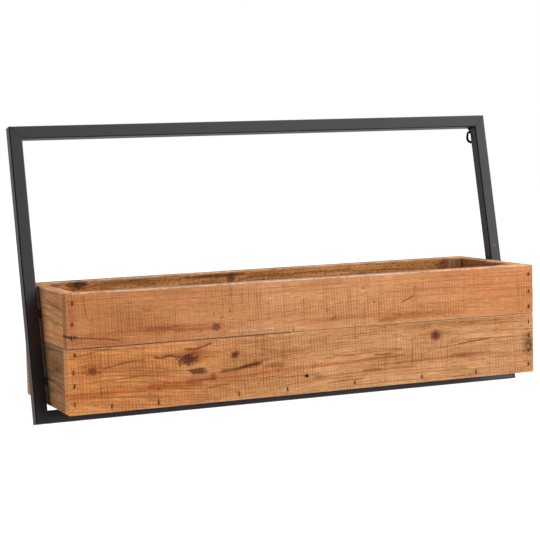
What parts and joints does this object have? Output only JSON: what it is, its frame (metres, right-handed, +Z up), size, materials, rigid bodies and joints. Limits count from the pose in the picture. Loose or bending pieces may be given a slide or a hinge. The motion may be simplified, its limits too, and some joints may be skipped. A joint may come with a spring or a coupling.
{
  "type": "wall planter",
  "caption": "Wall planter: a leaning rectangular frame of black square tube carrying a long, open-topped box of reclaimed wood boards, with wire hanging rings behind its top corners.",
  "frame": {"origin": "the middle of the box's back, on the wall's plane", "axes": "+X to the right as seen from the front, +Y back to the wall, +Z up"},
  "size_m": [0.81, 0.225, 0.4346],
  "materials": {
    "front_upper_wood": "orange-tan pine with fine saw marks across the grain",
    "front_lower_wood": "yellower pine with strong grain, knots and stains",
    "back_wood": "mottled brown old pine",
    "end_wood": "browner old pine",
    "floor_wood": "plain rough pine",
    "post_wood": "sawn pine batten",
    "frame_steel": "satin black powder coat",
    "hanger_steel": "black coating on pressed steel and wire",
    "screw_steel": "black screw",
    "bolt_steel": "zinc plated steel",
    "spacer_steel": "black sleeve",
    "staple_steel": "dull, rust-stained wire"
  },
  "bodies": {
    "planter": {"front_upper_board": "front_upper_wood", "front_lower_board": "front_lower_wood", "back_upper_board": "back_wood", "back_lower_board": "back_wood", "left_upper_board": "end_wood", "left_lower_board": "end_wood", "right_upper_board": "end_wood", "right_lower_board": "end_wood", "floor_front_board": "floor_wood", "floor_back_board": "floor_wood", "front_left_post": "post_wood", "front_right_post": "post_wood", "back_left_post": "post_wood", "back_right_post": "post_wood", "top_rail": "frame_steel", "bottom_rail": "frame_steel", "left_stile": "frame_steel", "right_stile": "frame_steel", "left_hanger_plate": "hanger_steel", "right_hanger_plate": "hanger_steel", "hanger_screws": "screw_steel", "end_bolts": "bolt_steel", "bolt_washers": "bolt_steel", "stile_spacers": "spacer_steel", "stile_inserts": "bolt_steel", "front_staples": "staple_steel", "back_staples": "staple_steel", "post_staples": "staple_steel"},
    "left_ring": {"left_hanger_ring": "hanger_steel"},
    "right_ring": {"right_hanger_ring": "hanger_steel"}
  },
  "joints": [
    {"name": "left_ring_swing", "type": "hinge", "parent": "planter", "child": "left_ring", "pos_m": [-0.3905, -0.02592, 0.29451], "axis": [1, 0, 0], "range_deg": [-14, 160]},
    {"name": "right_ring_swing", "type": "hinge", "parent": "planter", "child": "right_ring", "pos_m": [0.3905, -0.02592, 0.29451], "axis": [1, 0, 0], "range_deg": [-14, 160]}
  ]
}
